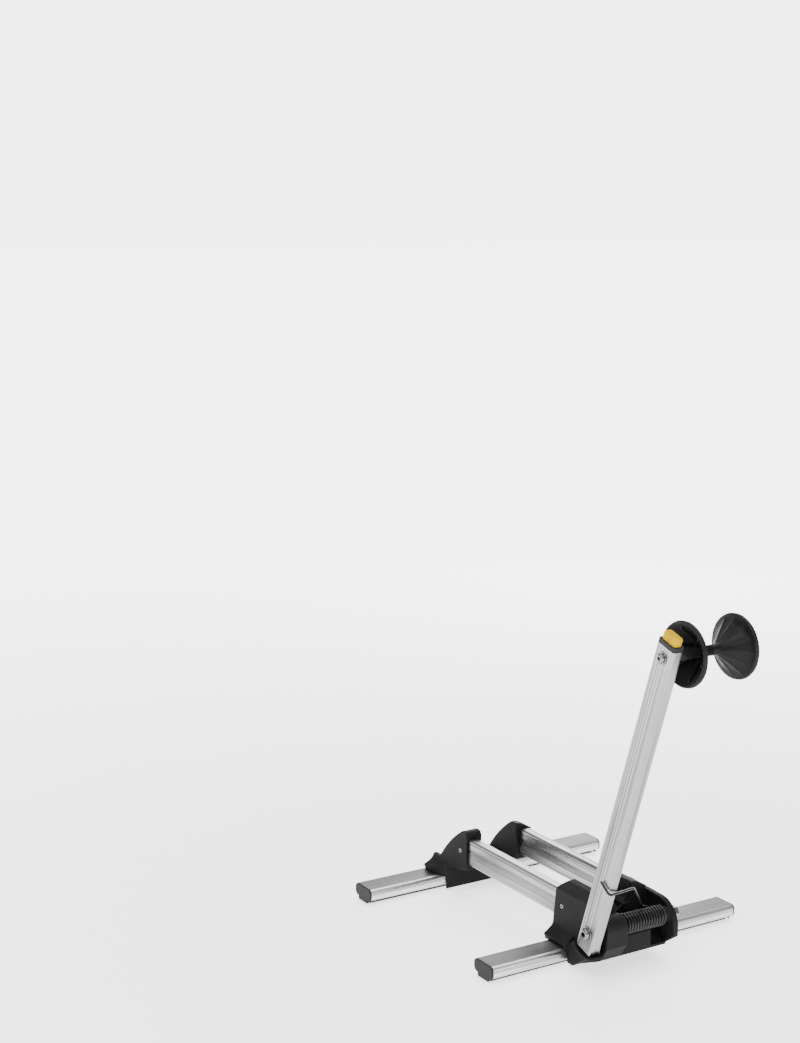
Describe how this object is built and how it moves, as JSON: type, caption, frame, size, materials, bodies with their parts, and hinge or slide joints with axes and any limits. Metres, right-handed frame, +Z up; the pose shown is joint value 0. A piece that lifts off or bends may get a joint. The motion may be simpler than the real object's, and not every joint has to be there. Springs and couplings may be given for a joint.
{
  "type": "bicycle wheel stand",
  "caption": "Low floor stand for a bicycle's rear wheel: rails on cross feet hold the tyre, and a leaning sprung arm presses a double-cone spool on the tyre.",
  "frame": {"origin": "on the floor, under the middle of the whole stand's box", "axes": "+Z up, +Y the way the bicycle faces, +X to the bicycle's right"},
  "size_m": [0.363, 0.5054, 0.4408],
  "materials": {
    "foot_aluminium": "satin anodised, fine lines along the tube",
    "rail_aluminium": "satin anodised, fine lines along the tube",
    "arm_aluminium": "satin anodised, fine lines along the tube",
    "bracket_plastic": "finely textured black moulded plastic",
    "cone_plastic": "smooth satin black moulded plastic",
    "cap_plastic": "finely textured dark grey moulded plastic",
    "pad_rubber": "matt, lightly ribbed",
    "yellow_plastic": "satin bright yellow",
    "bearing_plastic": "smooth bearing plastic",
    "black_spring_wire": "black coated spring wire, slight gloss",
    "zinc_steel": "bright zinc plated",
    "turned_steel": "turned steel, satin"
  },
  "bodies": {
    "base": {"front_foot_tube": "foot_aluminium", "rear_foot_tube": "foot_aluminium", "front_foot_pad": "pad_rubber", "rear_foot_pad": "pad_rubber", "front_left_foot_cap": "cap_plastic", "front_right_foot_cap": "cap_plastic", "rear_left_foot_cap": "cap_plastic", "rear_right_foot_cap": "cap_plastic", "left_rail": "rail_aluminium", "right_rail": "rail_aluminium", "front_bracket": "bracket_plastic", "rear_bracket": "bracket_plastic", "rail_screws": "zinc_steel", "foot_screws": "zinc_steel", "pivot_bolt": "zinc_steel", "pivot_washer": "zinc_steel", "pivot_bush": "bearing_plastic", "pivot_nut": "zinc_steel", "spring_arbor": "bearing_plastic", "torsion_spring": "black_spring_wire"},
    "arm": {"arm_tube": "arm_aluminium", "arm_pivot_insert": "bearing_plastic", "arm_top_cap": "cap_plastic", "cap_marker": "yellow_plastic", "spool_bolt": "zinc_steel", "spool_washer": "zinc_steel", "spool_spacer": "turned_steel", "spool_sleeve": "turned_steel", "spool_nut": "zinc_steel"},
    "spool": {"left_cone": "cone_plastic", "right_cone": "cone_plastic"}
  },
  "joints": [
    {"name": "arm_pivot", "type": "hinge", "parent": "base", "child": "arm", "pos_m": [-0.0766, -0.1018, 0.0582], "axis": [1, 0, 0], "range_deg": [-82, 15], "stiffness_Nm_per_rad": 1.5, "springref_deg": -7.45, "deforming": ["torsion_spring"]},
    {"name": "spool_spin", "type": "hinge", "parent": "arm", "child": "spool", "pos_m": [-0.0185, -0.2164, 0.4045], "axis": [1, 0, 0], "continuous": true}
  ]
}
